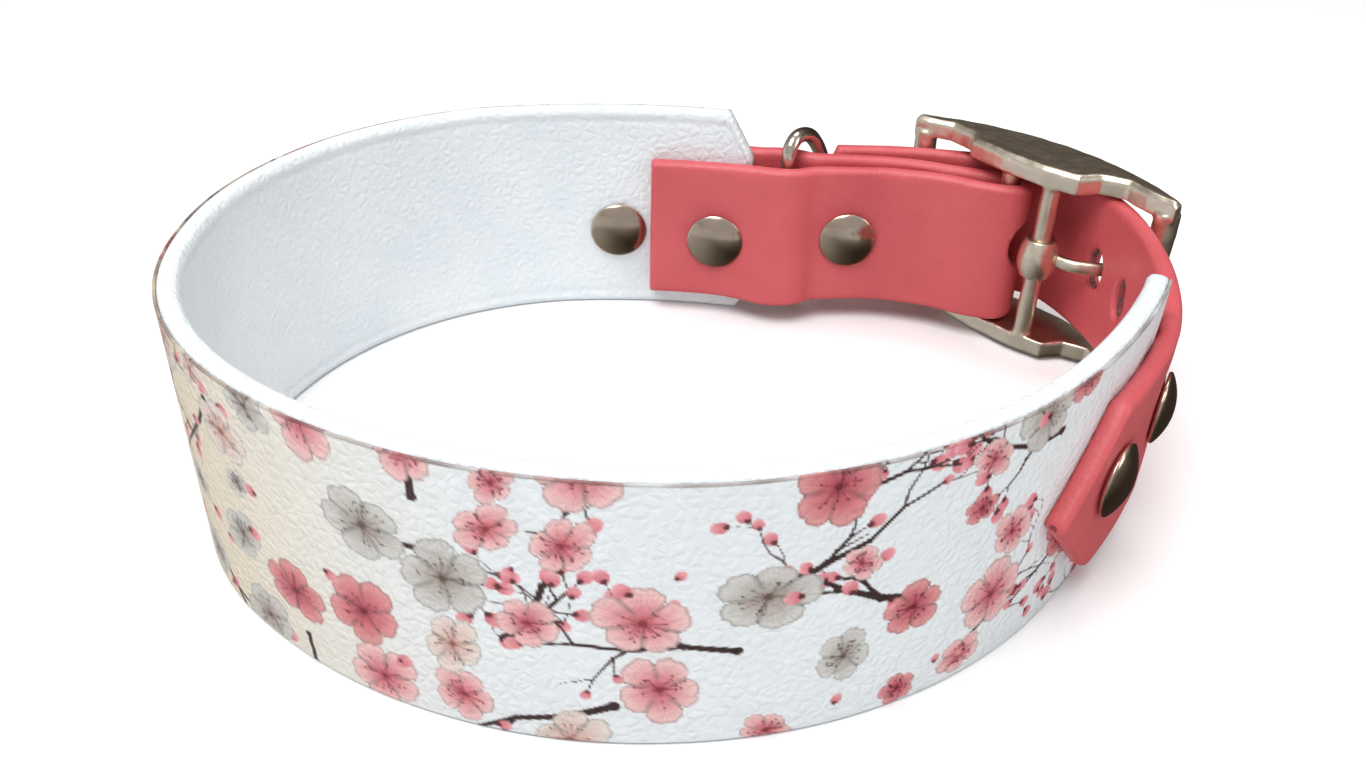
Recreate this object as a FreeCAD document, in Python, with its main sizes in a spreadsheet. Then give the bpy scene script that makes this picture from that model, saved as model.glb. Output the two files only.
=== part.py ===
import FreeCAD, Part
import math
import os
import Sketcher

# Wide buckled dog collar, standing on the bottom edge of its loop. Millimetres, +Z up.
# +X points to the buckle side, -Y to the decorated front; the origin is under the
# middle of the whole collar, on the surface that it stands on.

V = FreeCAD.Vector
os.makedirs("parts", exist_ok=True)
doc = FreeCAD.newDocument("buckle_collar")

# ---------------------------------------------------------------- driving sizes

SIZES = {
    "origin_x": 6.56, "origin_y": 3.64,        # plan position of the collar's middle
    "band_width": 38.0, "band_gauge": 3.0,     # the wide band
    "print_gauge": 0.4, "print_margin": 0.3,   # printed film on its outside
    "band_core_width": 32.0, "band_core_gauge": 1.2,
    "strap_width": 25.6, "strap_gauge": 2.8,   # the narrow coated strap
    "strap_core_width": 21.6, "strap_core_gauge": 1.1,
    "chape_middle": 17.0, "billet_middle": 18.6,   # heights of the straps' centre lines
    "cut_corner_long": 8.0, "cut_corner_short": 4.5,
    "point_depth": 12.0, "tail_depth": 3.5,        # depths of the billet's two pointed ends
    "cap_radius": 5.1, "cap_rise": 2.1, "cap_lip": 0.5,
    "post_radius": 1.4, "tube_radius": 2.0, "tube_length": 1.0, "seat_gap": 0.2,
    "hole_wide": 5.0, "hole_tall": 7.4, "hole_pitch": 11.0,
    "frame_middle": 17.8, "rail_height": 3.4, "rail_opening": 28.0,   # cast frame and its rails
    "end_bar_radius": 2.0, "strap_bar_radius": 1.5, "prong_bar_radius": 1.6,
    "wrap_clearance": 0.1, "pivot_clearance": 0.06,
    "prong_middle": 18.7, "knuckle_radius": 3.4, "knuckle_height": 7.0, "prong_radius": 1.2,
    "slot_radius": 5.9, "slot_reach": 3.0,     # relief for the knuckle in the chape's fold
    "ring_wire_radius": 1.3, "ring_half_height": 15.9, "ring_corner_radius": 3.0,
    "ring_shoulder_radius": 8.0, "ring_shoulder_turn": 40.0,
    "ring_middle": 17.6, "ring_angle": 55.0,   # rest position, counted from +X
}
sheet = doc.addObject("Spreadsheet::Sheet", "Sizes")
for row, (name, value) in enumerate(SIZES.items(), start=1):
    sheet.set("A%d" % row, name)
    sheet.set("B%d" % row, str(value))
    sheet.setAlias("B%d" % row, name)
doc.recompute()


def size(name):
    return float(sheet.get(name))


def bind(obj, prop, formula):
    """Tie a property to the sheet; every word of the formula that is an alias is looked up."""
    words = sorted(SIZES, key=len, reverse=True)
    text, out = formula, ""
    while text:
        word = next((w for w in words if text.startswith(w)), None)
        out += "Sizes." + word if word else text[0]
        text = text[len(word):] if word else text[1:]
    obj.setExpression(prop, out)


# ---------------------------------------------------------------- plan paths

class Path:
    """A chain of tangent arcs in plan; offsets are positive to the left of travel."""

    def __init__(self, x, y, heading):
        self.spans = []
        self.end = (x, y, math.radians(heading))

    def arc(self, length, bend):
        x, y, head = self.end
        self.spans.append((x, y, head, bend, length))
        self.end = self._walk(self.spans[-1], length, 0.0)
        return self

    def turn(self, radius, degrees):
        return self.arc(abs(radius * math.radians(degrees)), math.copysign(1.0 / radius, degrees))

    def reach(self, x, y, heading):
        """Two tangent arcs from the end of the path to a point and heading."""
        ax, ay, ahead = self.end
        bhead = math.radians(heading)
        ta, tb = V(math.cos(ahead), math.sin(ahead)), V(math.cos(bhead), math.sin(bhead))
        step = V(x - ax, y - ay)
        pull, along = ta.dot(tb) - 1.0, step.dot(ta + tb)
        if abs(pull) < 1e-9:
            d = step.dot(step) / (2.0 * along)
        else:
            d = (along - math.sqrt(along * along - 2.0 * pull * step.dot(step))) / (2.0 * pull)
        mid = (V(ax, ay) + V(x, y) + (ta - tb) * d) * 0.5
        for goal in (mid, V(x, y)):
            px, py, head = self.end
            w = goal - V(px, py)
            side = V(-math.sin(head), math.cos(head))
            bend = 2.0 * w.dot(side) / w.dot(w)
            half = math.asin(max(-1.0, min(1.0, bend * w.Length / 2.0)))
            self.arc(w.Length if abs(bend) < 1e-6 else 2.0 * half / bend, bend)
        return self

    def follow(self, path, start, stop, offset):
        """The stretch of another path between two distances, at a constant offset."""
        for _, _, _, bend, length in path.spans:
            covered = min(stop, length) - max(start, 0.0)
            if covered > 0.0:
                scale = 1.0 - offset * bend
                self.arc(covered * scale, bend / scale)
            start, stop = start - length, stop - length
        return self

    @staticmethod
    def _walk(span, s, offset):
        x, y, head, bend, _ = span
        turned = head + bend * s
        if abs(bend) < 1e-6:
            cx, cy = x + s * math.cos(head), y + s * math.sin(head)
        else:
            cx = x + (math.sin(turned) - math.sin(head)) / bend
            cy = y - (math.cos(turned) - math.cos(head)) / bend
        return (cx - offset * math.sin(turned), cy + offset * math.cos(turned), turned)

    def length(self):
        return sum(span[4] for span in self.spans)

    def at(self, s, offset=0.0):
        """x, y and heading at a distance along the path."""
        for i, span in enumerate(self.spans):
            if s <= span[4] or i == len(self.spans) - 1:
                return self._walk(span, s, offset)
            s -= span[4]

    def edges(self, offset):
        """The spans as sketch curves, at a constant offset."""
        out = []
        for span in self.spans:
            a, b = (self._walk(span, s, offset) for s in (0.0, span[4]))
            bend = span[3]
            if abs(bend) < 1e-6:
                out.append(Part.LineSegment(V(a[0], a[1]), V(b[0], b[1])))
                continue
            radius = abs(1.0 / bend - offset)
            cx = span[0] - math.sin(span[2]) / bend
            cy = span[1] + math.cos(span[2]) / bend
            first = math.atan2(a[1] - cy, a[0] - cx)
            last = first + bend * span[4]
            circle = Part.Circle(V(cx, cy), V(0, 0, 1), radius)
            out.append(Part.ArcOfCircle(circle, min(first, last), max(first, last)))
        return out


def closed(path, inner, outer):
    """The closed plan outline of a strip that lies between two offsets of a path."""
    curves = path.edges(inner) + path.edges(outer)
    for s in (0.0, path.length()):
        a, b = path.at(s, inner), path.at(s, outer)
        curves.append(Part.LineSegment(V(a[0], a[1]), V(b[0], b[1])))
    return curves


def at_origin(x, y):
    return x - size("origin_x"), y - size("origin_y")


# ---------------------------------------------------------------- building blocks

def plane(body, role):
    return next(f for f in body.Origin.OriginFeatures if f.Role == role)


def new_body(name):
    body = doc.addObject("PartDesign::Body", name)
    body.Label = name
    return body


def sketch_on(body, role, curves, name, base=V(0, 0, 0), turn=None):
    sketch = body.newObject("Sketcher::SketchObject", name)
    sketch.AttachmentSupport = (plane(body, role), "")
    sketch.MapMode = "FlatFace"
    sketch.AttachmentOffset = FreeCAD.Placement(base, turn or FreeCAD.Rotation())
    for curve in curves:
        sketch.addGeometry(curve, False)
    return sketch


def strip(name, path, inner, outer, low, height):
    """A strip of constant section: its plan outline, padded to its width."""
    body = new_body(name)
    sketch = sketch_on(body, "XY_Plane", closed(path, inner, outer), name + "_plan")
    bind(sketch, "AttachmentOffset.Base.z", low)
    pad = body.newObject("PartDesign::Pad", name + "_pad")
    pad.Profile = sketch
    bind(pad, "Length", height)
    sketch.Visibility = False
    return body


def facing(path, s, offset, z):
    """A placement on a path whose local X runs along it, Y up and Z to the outside."""
    x, y, head = path.at(s, offset)
    along = V(math.cos(head), math.sin(head), 0)
    out = V(math.sin(head), -math.cos(head), 0)
    turn = FreeCAD.Rotation(along, V(0, 0, 1), out, "XZY")
    return FreeCAD.Placement(V(x, y, z), turn)


def punch(name, place, radius, tall=None, depth=14.0):
    """A round punch, or an oval one that stands upright, through the thickness of a strip."""
    pins = []
    lifts = (0,) if tall is None else (-1, 1)
    for lift in lifts:
        pin = doc.addObject("Part::Cylinder", name + "_pin")
        bind(pin, "Radius", radius)
        pin.Height = depth
        rise = 0.0 if tall is None else lift * (size(tall) - size("hole_wide")) / 2.0
        pin.Placement = place * FreeCAD.Placement(V(0, rise, -depth / 2.0), FreeCAD.Rotation())
        pins.append(pin)
    if tall is not None:
        web = doc.addObject("Part::Box", name + "_web")
        bind(web, "Length", "hole_wide")
        bind(web, "Width", "%s - hole_wide" % tall)
        web.Height = depth
        base = V(-size("hole_wide") / 2.0, -(size(tall) - size("hole_wide")) / 2.0, -depth / 2.0)
        web.Placement = place * FreeCAD.Placement(base, FreeCAD.Rotation())
        pins.append(web)
    return pins


def corner_cut(name, place, tilt):
    """A block that takes a slanted corner off a strip; its lower face is the cut."""
    block = doc.addObject("Part::Box", name + "_corner")
    block.Length, block.Width, block.Height = 60.0, 30.0, 30.0
    turn = FreeCAD.Rotation(V(0, 0, 1), tilt)
    block.Placement = (place * FreeCAD.Placement(V(0, 0, 0), turn)
                       * FreeCAD.Placement(V(-30.0, 0, -15.0), FreeCAD.Rotation()))
    return block


def cut(name, base, tools):
    base.Label = name + "_blank"
    fuse = doc.addObject("Part::MultiFuse", name + "_tools")
    fuse.Shapes = tools
    result = doc.addObject("Part::Cut", name + "_cut")
    result.Base, result.Tool = base, fuse
    result.Label = name
    return result


# ---------------------------------------------------------------- paths of the strips

half_band = size("band_gauge") / 2.0
half_strap = size("strap_gauge") / 2.0

# the wide band runs from the back end, round the left and the front, to the right end
band = Path(*at_origin(12.3, 49.5), 168.8)
for radius, degrees in ((98.0, 18.7), (53.5, 85.8), (43.5, 43.3), (70.0, 91.9), (112.0, 12.0),
                        (45.0, 8.0)):
    band.turn(radius, degrees)
BAND_LENGTH = band.length()

# cast frame: local X runs along the frame, Y to the outside, Z up
FRAME_AT = at_origin(43.4, 59.5)
FRAME_TURN = -46.15
STRAP_BAR = (20.8, -1.9)
PRONG_BAR = (29.4, -3.0)


def from_frame(x, y, z=0.0):
    spin = FreeCAD.Rotation(V(0, 0, 1), FRAME_TURN)
    return V(FRAME_AT[0], FRAME_AT[1], 0) + spin.multVec(V(x, y, z))


# chape: inner leg from its end on the lining, round the strap bar, outer leg back
over_band = half_band + half_strap
wrap = size("strap_bar_radius") + size("wrap_clearance") + half_strap
bar = from_frame(*STRAP_BAR)
INNER_LAP, OUTER_LAP = 18.0, 28.6
RIVET_C_X, LEG_IN_Y, LEG_OUT_Y, LEG_FLAT = 29.9, 46.8, 50.1, 10.0
x, y, head = band.at(INNER_LAP, over_band)
chape = Path(x, y, math.degrees(head) - 180.0)
first = band.spans[0]
chape.arc(INNER_LAP * (1.0 - over_band * first[3]), -first[3] / (1.0 - over_band * first[3]))
chape.reach(*at_origin(18.4, 45.3), -3.0)
chape.reach(*at_origin(RIVET_C_X - LEG_FLAT / 2.0, LEG_IN_Y), 0.0)
chape.arc(LEG_FLAT, 0.0)
chape.reach(*at_origin(42.0, 45.5), -11.0)
fold_in = -9.0
side = V(-math.sin(math.radians(fold_in)), math.cos(math.radians(fold_in)))
chape.reach(bar.x - wrap * side.x, bar.y - wrap * side.y, fold_in)
chape.turn(wrap, 180.0)
chape.reach(*at_origin(RIVET_C_X + LEG_FLAT / 2.0, LEG_OUT_Y), 180.0)
chape.arc(LEG_FLAT, 0.0)
chape.reach(*at_origin(18.4, 52.2), 171.0)
x, y, head = band.at(0.0, -over_band)
chape.reach(x, y, math.degrees(head))
chape.follow(band, 0.0, OUTER_LAP, -over_band)

# billet: from its fixed point on the outside of the band, through the frame, to its tip
BILLET_LAP = 36.0
x, y, head = band.at(BAND_LENGTH - BILLET_LAP, -over_band)
billet = Path(x, y, math.degrees(head))
billet.follow(band, BAND_LENGTH - BILLET_LAP, BAND_LENGTH, -over_band)
billet.reach(*at_origin(72.2, 15.0), 85.0)
billet.reach(*at_origin(71.5, 32.6), 103.0)
HOLE_ONE = billet.length()
billet.reach(*at_origin(67.5, 44.2), 117.0)
billet.reach(*at_origin(58.6, 50.8), 158.0)
billet.reach(*at_origin(44.2, 54.8), 172.0)
billet.reach(*at_origin(24.4, 55.0), 181.0)
BILLET_LENGTH = billet.length()

# rivets: name, path, distance along it, offset of the innermost face, stack height, seats
RIVETS = []


def stack(name, s, z, inner_face, height):
    """A rivet through the band and the straps on it."""
    RIVETS.append((name, facing(band, s, inner_face, z), height, True))


band_gauge, strap_gauge = size("band_gauge"), size("strap_gauge")
chape_middle, billet_middle = size("chape_middle"), size("billet_middle")
stack("rivet_a", 24.0, chape_middle - 2.0, half_band, band_gauge + strap_gauge)
stack("rivet_b", 5.6, chape_middle - 2.0, half_band + strap_gauge,
      band_gauge + 2.0 * strap_gauge)
stack("rivet_d", BAND_LENGTH - 5.0, billet_middle + 1.6, half_band, band_gauge + strap_gauge)
stack("rivet_e", BAND_LENGTH - 23.0, billet_middle + 0.8, half_band, band_gauge + strap_gauge)
cx, cy = at_origin(RIVET_C_X, LEG_IN_Y - half_strap)
across = FreeCAD.Rotation(V(-1, 0, 0), V(0, 0, 1), V(0, 1, 0), "XZY")
RIVETS.append(("rivet_c", FreeCAD.Placement(V(cx, cy, chape_middle - 0.6), across),
               LEG_OUT_Y - LEG_IN_Y + strap_gauge, False))
SEATS = {name: place for name, place, _, _ in RIVETS}

# ---------------------------------------------------------------- the wide band

film = half_band - size("print_gauge")
band_core = size("band_core_gauge") / 2.0
core_mid = (film - half_band) / 2.0


def band_tools(name):
    tools = []
    for rivet in ("rivet_a", "rivet_b", "rivet_d", "rivet_e"):
        tools += punch(name + "_" + rivet, SEATS[rivet], "tube_radius")
    long_cut, short_cut = size("cut_corner_long"), size("cut_corner_short")
    slope = math.degrees(math.atan2(long_cut, short_cut))
    top = size("band_width")
    # back end: a long corner off the top, a small one off the bottom
    place = facing(band, 0.0, 0.0, top)
    tools.append(corner_cut(name, place * FreeCAD.Placement(V(short_cut, 0, 0), FreeCAD.Rotation()),
                            slope))
    place = facing(band, 0.0, 0.0, 0.0)
    tools.append(corner_cut(name, place * FreeCAD.Placement(V(1.6, 0, 0), FreeCAD.Rotation()),
                            180.0 - 62.0))
    # right end: the same corner at the top, nearly square at the bottom
    place = facing(band, BAND_LENGTH, 0.0, top)
    tools.append(corner_cut(name, place * FreeCAD.Placement(V(-2.0, 0, 0), FreeCAD.Rotation()),
                            -58.0))
    place = facing(band, BAND_LENGTH, 0.0, 0.0)
    tools.append(corner_cut(name, place * FreeCAD.Placement(V(-2.0, 0, 0), FreeCAD.Rotation()),
                            180.0 + 58.0))
    return tools


blank = strip("band_print", band, -film, -half_band, "print_margin",
              "band_width - 2 * print_margin")
cut("band_print", blank, band_tools("band_print"))

blank = strip("band_core", band, core_mid * -1.0 + band_core, core_mid * -1.0 - band_core,
              "(band_width - band_core_width) / 2", "band_core_width")
cut("band_core", blank, band_tools("band_core"))

blank = strip("band_backing", band, half_band, -film, "0 * band_width", "band_width")
hollow = strip("band_backing_hollow", band, core_mid * -1.0 + band_core,
               core_mid * -1.0 - band_core, "(band_width - band_core_width) / 2",
               "band_core_width")
cut("band_backing", blank, band_tools("band_backing") + [hollow])

# ---------------------------------------------------------------- the narrow straps

strap_core = size("strap_core_gauge") / 2.0


def strap_pair(name, path, middle, tools_for):
    """A coated strap: the woven core, and the coating around it, both cut the same way."""
    strap_low, core_low = (middle + " - %s / 2" % w for w in ("strap_width", "strap_core_width"))
    core = strip(name + "_core", path, strap_core, -strap_core, core_low, "strap_core_width")
    cut(name + "_core", core, tools_for(name + "_core"))
    coat = strip(name + "_coating", path, half_strap, -half_strap, strap_low, "strap_width")
    hollow = strip(name + "_hollow", path, strap_core, -strap_core, core_low,
                   "strap_core_width")
    cut(name + "_coating", coat, tools_for(name + "_coating") + [hollow])


def chape_tools(name):
    tools = []
    for rivet in ("rivet_a", "rivet_b", "rivet_c"):
        tools += punch(name + "_" + rivet, SEATS[rivet], "tube_radius", depth=24.0)
    # relief for the prong's knuckle: a round bite out of the fold
    bite = from_frame(*STRAP_BAR, size("prong_middle"))
    turn = math.radians(fold_in)
    along = V(math.cos(turn), math.sin(turn), 0)
    out = V(math.sin(turn), -math.cos(turn), 0)
    centre = bite + along * (size("slot_reach") - 1.6 + size("slot_radius"))
    place = FreeCAD.Placement(centre, FreeCAD.Rotation(along, V(0, 0, 1), out, "XZY"))
    tools += punch(name + "_bite", place, "slot_radius", depth=20.0)
    return tools


strap_pair("chape", chape, "chape_middle", chape_tools)


def point_cuts(name, path, s, sign, depth):
    """Two slanted cuts that leave a point on the strap's centre line."""
    slope = math.degrees(math.atan2(size("strap_width") / 2.0, size(depth)))
    tools = []
    for flip in (1, -1):
        place = facing(path, s, 0.0, billet_middle)
        turn = flip * sign * slope
        if flip < 0:
            turn += 180.0
        tools.append(corner_cut(name, place, turn))
    return tools


def billet_tools(name):
    tools = []
    for rivet in ("rivet_d", "rivet_e"):
        tools += punch(name + "_" + rivet, SEATS[rivet], "tube_radius")
    for number in range(3):
        place = facing(billet, HOLE_ONE - number * size("hole_pitch"), 0.0, billet_middle)
        tools += punch(name + "_hole", place, "hole_wide / 2", "hole_tall", depth=6.0)
    tools += point_cuts(name, billet, 0.0, 1, "point_depth")
    tools += point_cuts(name, billet, BILLET_LENGTH, -1, "tail_depth")
    return tools


strap_pair("billet", billet, "billet_middle", billet_tools)

# ---------------------------------------------------------------- rivets


def revolved(name, points, arc_through, place):
    """A turned piece about its local Z; the profile lies in the XZ plane."""
    body = new_body(name)
    curves = []
    for a, b, through in zip(points, points[1:] + points[:1], arc_through):
        start, end = V(a[0], a[1]), V(b[0], b[1])
        curves.append(Part.ArcOfCircle(*arc_data(start, V(*through), end)) if through
                      else Part.LineSegment(start, end))
    sketch = sketch_on(body, "XZ_Plane", curves, name + "_profile")
    turned = body.newObject("PartDesign::Revolution", name + "_turned")
    turned.Profile = sketch
    turned.ReferenceAxis = (plane(body, "Z_Axis"), [""])
    turned.Angle = 360.0
    sketch.Visibility = False
    body.Placement = place
    return body


def arc_data(a, b, c):
    """Circle and angles of the arc from a through b to c."""
    edge = Part.Arc(a, b, c).toShape()
    circle = edge.Curve
    first = math.atan2(a.y - circle.Center.y, a.x - circle.Center.x)
    last = math.atan2(c.y - circle.Center.y, c.x - circle.Center.x)
    mid = math.atan2(b.y - circle.Center.y, b.x - circle.Center.x)
    flat = Part.Circle(V(circle.Center.x, circle.Center.y), V(0, 0, 1), circle.Radius)
    full = 2.0 * math.pi
    if (mid - first) % full > (last - first) % full:
        first, last = last, first
    return flat, first, first + (last - first) % full


def dome_point(radius, rise):
    """Half-way point of a spherical dome that drops by rise over radius, from its crown."""
    ball = (radius * radius + rise * rise) / (2.0 * rise)
    half = math.asin(radius / ball) / 2.0
    return ball * math.sin(half), ball * (1.0 - math.cos(half))


for name, place, height, hollow_seat in sorted(RIVETS, key=lambda item: item[0]):
    cap, rise, lip = size("cap_radius"), size("cap_rise"), size("cap_lip")
    post, tube, reach = size("post_radius"), size("tube_radius"), size("tube_length")
    low = -size("seat_gap") if hollow_seat else 0.0
    half, drop = dome_point(cap, rise - lip)
    # inner head with its post, pushed through the stack from the neck side
    revolved(name + "_post",
             [(0.0, low - rise), (cap, low - lip), (cap, low), (post, low), (post, height),
              (0.0, height)],
             [(half, low - rise + drop), None, None, None, None, None], place)
    # outer cap, with the short tube that grips the post
    top = height + rise
    revolved(name + "_cap",
             [(0.0, top), (0.0, height), (post, height), (post, height - reach),
              (tube, height - reach), (tube, height), (cap, height), (cap, height + lip)],
             [None, None, None, None, None, None, None, (half, top - drop)], place)

# ---------------------------------------------------------------- cast buckle frame

frame = new_body("buckle_frame")
frame_place = FreeCAD.Placement(V(FRAME_AT[0], FRAME_AT[1], 0),
                                FreeCAD.Rotation(V(0, 0, 1), FRAME_TURN))


def rail_outline():
    """Plan of a rail: arched outside, deep in the middle where it carries the two bars."""
    outer = ((-1.0, 0.4), (23.5, 7.4), (50.0, 0.2))
    curves = [Part.ArcOfCircle(*arc_data(*(V(*p) for p in outer)))]
    inner = [(50.0, 0.2), (49.9, -1.7), (44.8, -0.9), (40.4, 0.7), (36.4, -0.6), (34.2, -4.0),
             (28.0, -4.9), (20.0, -4.5), (13.0, -3.2), (11.2, -0.7), (6.5, 0.2), (2.0, -1.2),
             (-0.6, -1.4), (-1.0, 0.4)]
    for a, b in zip(inner, inner[1:]):
        curves.append(Part.LineSegment(V(*a), V(*b)))
    return curves


def pad_on(body, name, curves, low, height, more=None):
    sketch = sketch_on(body, "XY_Plane", curves, name + "_plan")
    bind(sketch, "AttachmentOffset.Base.z", low)
    pad = body.newObject("PartDesign::Pad", name)
    pad.Profile = sketch
    bind(pad, "Length", height)
    sketch.Visibility = False
    return pad


def ring_curve(x, y, radius):
    return [Part.Circle(V(x, y), V(0, 0, 1), radius)]


pad_on(frame, "lower_rail", rail_outline(), "frame_middle - rail_opening / 2 - rail_height",
       "rail_height")
bars = []
for x, y, radius, label in ((1.2, 0.1, "end_bar_radius", "left_end_bar"),
                            (48.2, -0.1, "end_bar_radius", "right_end_bar"),
                            (STRAP_BAR[0], STRAP_BAR[1], "strap_bar_radius", "strap_bar"),
                            (PRONG_BAR[0], PRONG_BAR[1], "prong_bar_radius", "prong_bar")):
    bars.append(pad_on(frame, label, ring_curve(x, y, size(radius)),
                       "frame_middle - rail_opening / 2 - 1", "rail_opening + 2"))
upper = pad_on(frame, "upper_rail", rail_outline(), "frame_middle + rail_opening / 2",
               "rail_height")
doc.recompute()


def rail_rims(shape):
    """Edges around the top of the upper rail and around the bottom of the lower one."""
    reach = size("rail_opening") / 2.0 + size("rail_height")
    low, high = size("frame_middle") - reach, size("frame_middle") + reach
    names = []
    for number, edge in enumerate(shape.Edges, start=1):
        box = edge.BoundBox
        if box.ZLength < 1e-4 and (abs(box.ZMin - low) < 1e-4 or abs(box.ZMin - high) < 1e-4):
            names.append("Edge%d" % number)
    return names


rims = frame.newObject("PartDesign::Chamfer", "worn_rims")
rims.Base = (upper, rail_rims(upper.Shape))
rims.Size = 0.7
frame.Tip = rims
frame.Placement = frame_place

# ---------------------------------------------------------------- prong

prong = new_body("prong")
knuckle, half_knuckle = size("knuckle_radius"), size("knuckle_height") / 2.0
bore = size("prong_bar_radius") + size("pivot_clearance")
neck = knuckle - 0.9
curves = [Part.LineSegment(V(bore, -half_knuckle), V(neck, -half_knuckle)),
          Part.ArcOfCircle(*arc_data(V(neck, -half_knuckle), V(knuckle, 0), V(neck, half_knuckle))),
          Part.LineSegment(V(neck, half_knuckle), V(bore, half_knuckle)),
          Part.LineSegment(V(bore, half_knuckle), V(bore, -half_knuckle))]
sketch = sketch_on(prong, "XZ_Plane", curves, "knuckle_profile")
ball = prong.newObject("PartDesign::Revolution", "knuckle")
ball.Profile = sketch
ball.ReferenceAxis = (plane(prong, "Z_Axis"), [""])
ball.Angle = 360.0
shank = Path(2.4, 1.5, -22.0)
shank.reach(39.9 - PRONG_BAR[0], 1.75 - PRONG_BAR[1], 44.0)
shank.reach(50.3 - PRONG_BAR[0], 3.12 - PRONG_BAR[1], -6.0)
spine = sketch_on(prong, "XY_Plane", shank.edges(0.0), "shank_spine")
first_edge = shank.at(0.0)
turn = FreeCAD.Rotation(V(0, 1, 0), 90.0 - math.degrees(first_edge[2]))
section = sketch_on(prong, "XZ_Plane", ring_curve(0, 0, size("prong_radius")), "shank_section",
                    V(first_edge[0], 0.0, -first_edge[1]), turn)
pipe = prong.newObject("PartDesign::AdditivePipe", "shank")
pipe.Profile = section
pipe.Spine = spine
doc.recompute()
prong.Tip = pipe
prong.Placement = frame_place * FreeCAD.Placement(V(PRONG_BAR[0], PRONG_BAR[1], size("prong_middle")),
                                                  FreeCAD.Rotation())

# ---------------------------------------------------------------- D-ring

ring = new_body("d_ring")
wire, top = size("ring_wire_radius"), size("ring_half_height")
corner, shoulder = size("ring_corner_radius"), size("ring_shoulder_radius")
turned = size("ring_shoulder_turn")
drop = top - shoulder * (1.0 - math.cos(math.radians(turned)))
bow = drop / math.cos(math.radians(turned))
loop = Path(0.0, 0.0, 90.0)
loop.arc(top - corner, 0.0)
loop.turn(corner, -90.0)
loop.turn(shoulder, -turned)
loop.turn(bow, -2.0 * (90.0 - turned))
loop.turn(shoulder, -turned)
loop.turn(corner, -90.0)
loop.arc(top - corner, 0.0)
spine = sketch_on(ring, "XZ_Plane", loop.edges(0.0), "ring_spine")
section = sketch_on(ring, "XY_Plane", ring_curve(0, 0, wire), "ring_section")
pipe = ring.newObject("PartDesign::AdditivePipe", "ring_wire")
pipe.Profile = section
pipe.Spine = spine
doc.recompute()
ring.Tip = pipe
RING_BAR = at_origin(18.5, 48.5)
ring.Placement = FreeCAD.Placement(V(RING_BAR[0], RING_BAR[1], size("ring_middle")),
                                   FreeCAD.Rotation(V(0, 0, 1), size("ring_angle")))

# ---------------------------------------------------------------- check and export

doc.recompute()
NODES = ["band_print", "band_core", "band_backing", "chape_coating", "chape_core",
         "billet_coating", "billet_core", "buckle_frame", "prong", "d_ring"]
NODES += ["rivet_%s_%s" % (r, piece) for r in "abcde" for piece in ("post", "cap")]
for obj in doc.Objects:
    if "Invalid" in obj.State or "Error" in obj.State:
        raise RuntimeError("%s did not compute: %s" % (obj.Label, obj.State))
for node in NODES:
    shape = next(o for o in doc.Objects if o.Label == node).Shape
    if shape.isNull() or not shape.isValid() or len(shape.Solids) != 1:
        raise RuntimeError("%s has no single valid solid: %d" % (node, len(shape.Solids)))
    shape.exportStep("parts/%s.step" % node)
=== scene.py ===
"""The looks of a wide buckle dog collar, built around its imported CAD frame. Metres, +Z up."""
import math
import bpy
import bmesh
import numpy as np
from mathutils import Matrix, Vector, noise


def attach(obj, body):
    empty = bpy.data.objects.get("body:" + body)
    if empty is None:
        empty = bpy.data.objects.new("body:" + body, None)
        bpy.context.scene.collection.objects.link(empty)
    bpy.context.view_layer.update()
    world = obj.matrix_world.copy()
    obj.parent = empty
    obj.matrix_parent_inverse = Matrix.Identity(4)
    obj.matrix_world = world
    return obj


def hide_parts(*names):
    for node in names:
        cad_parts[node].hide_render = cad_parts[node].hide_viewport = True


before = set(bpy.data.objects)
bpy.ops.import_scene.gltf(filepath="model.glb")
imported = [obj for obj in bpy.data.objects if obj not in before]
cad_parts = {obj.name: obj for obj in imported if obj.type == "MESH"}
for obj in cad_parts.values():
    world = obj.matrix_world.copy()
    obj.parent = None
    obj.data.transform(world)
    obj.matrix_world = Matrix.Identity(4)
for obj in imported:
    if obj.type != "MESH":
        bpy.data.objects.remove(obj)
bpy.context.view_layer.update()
MM = 0.001

# ---------------------------------------------------------------- sizes, in millimetres

ORIGIN = (6.56, 3.64)            # plan position of the collar's middle, in the sketching frame
BAND_WIDTH, BAND_GAUGE, FILM = 38.0, 3.0, 0.4
STRAP_WIDTH, STRAP_GAUGE = 25.6, 2.8
CHAPE_MIDDLE, BILLET_MIDDLE, PRONG_MIDDLE = 17.0, 18.6, 18.7
POINT_DEPTH, TAIL_DEPTH = 12.0, 3.5
CAP_RADIUS, CAP_RISE, CAP_LIP, POST_RADIUS, SEAT_GAP = 5.1, 2.1, 0.5, 1.4, 0.2
HOLE_WIDE, HOLE_TALL, HOLE_PITCH, HOLES = 5.0, 7.4, 11.0, 3
BITE_RADIUS, BITE_DEPTH = 5.9, 1.4           # relief in the chape's fold for the prong's knuckle
BAND_CORE_MARGIN, BAND_CORE_HALF = 3.0, 0.6  # the hidden woven cores
STRAP_CORE_MARGIN, STRAP_CORE_HALF = 2.0, 0.55
HALF_BAND, HALF_STRAP = BAND_GAUGE / 2.0, STRAP_GAUGE / 2.0


# ---------------------------------------------------------------- plan paths

def at_origin(x, y):
    return x - ORIGIN[0], y - ORIGIN[1]


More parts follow.
